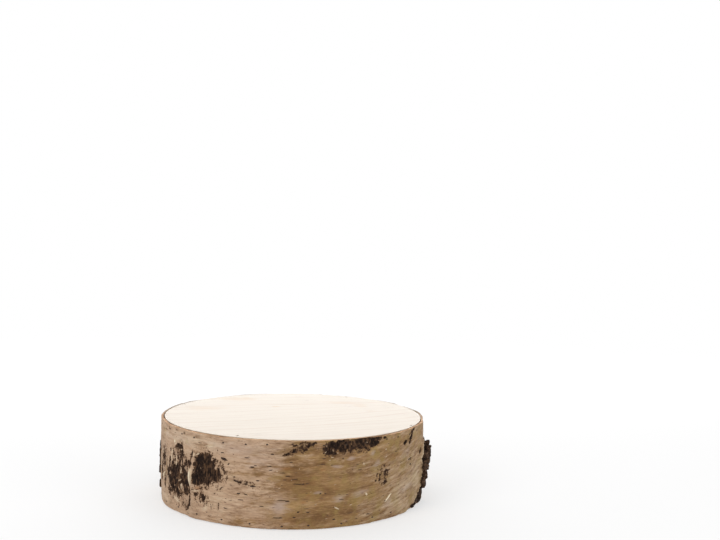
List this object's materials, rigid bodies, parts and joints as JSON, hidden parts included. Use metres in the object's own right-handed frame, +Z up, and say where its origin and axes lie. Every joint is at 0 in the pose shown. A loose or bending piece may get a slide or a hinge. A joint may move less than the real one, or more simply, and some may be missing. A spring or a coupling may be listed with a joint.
{
  "type": "birch wood slice",
  "caption": "Low round birch slice built up as a drum: plywood faces nailed to a wall hoop, with a wrap of real bark, for use as a display stand.",
  "frame": {"origin": "centre of the bottom board's underside, the face that the slice rests on", "axes": "+Z up through the slice's thickness, +X to the right in the picture, -Y towards the viewer"},
  "size_m": [0.3036, 0.3021, 0.09],
  "materials": {
    "plywood": "bare sanded birch plywood face, matt",
    "hoop_wood": "bare bent plywood strip, matt",
    "bark": "natural birch bark, rough and matt",
    "nail_steel": "dull dark steel"
  },
  "bodies": {
    "root": {"top_board": "plywood", "bottom_board": "plywood", "wall_hoop": "hoop_wood", "bark_wrap": "bark", "top_nail_1": "nail_steel", "top_nail_2": "nail_steel", "top_nail_3": "nail_steel", "top_nail_4": "nail_steel", "bottom_nail_1": "nail_steel", "bottom_nail_2": "nail_steel", "bottom_nail_3": "nail_steel", "bottom_nail_4": "nail_steel"}
  },
  "joints": []
}
